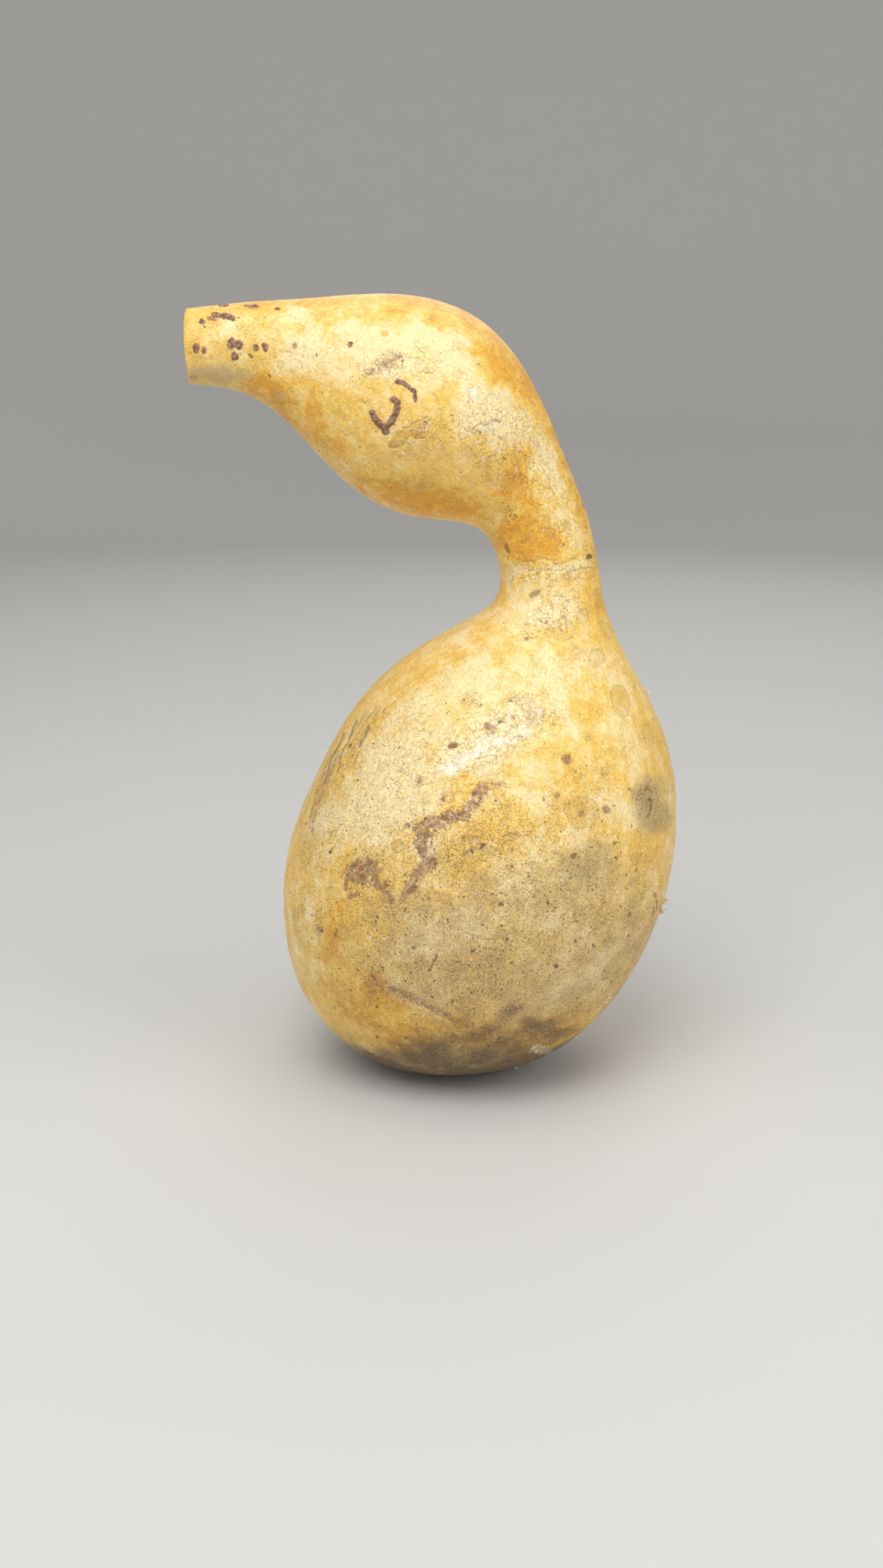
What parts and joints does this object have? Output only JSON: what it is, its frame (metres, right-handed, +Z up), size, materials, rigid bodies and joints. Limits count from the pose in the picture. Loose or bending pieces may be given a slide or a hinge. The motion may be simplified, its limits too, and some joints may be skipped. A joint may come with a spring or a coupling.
{
  "type": "dried bottle gourd",
  "caption": "Hollow dried bottle gourd with a large and a small chamber, a bent neck and a sawn-open stem end, standing on its underside.",
  "frame": {"origin": "middle of the small flat spot under the large chamber, on the surface that the gourd stands on", "axes": "+Z up, the bend of the neck lies in the XZ plane, and the sawn mouth opens towards -X"},
  "size_m": [0.1823, 0.1436, 0.2934],
  "materials": {
    "dried_shell": "satin"
  },
  "bodies": {
    "root": {"gourd_shell": "dried_shell"}
  },
  "joints": []
}
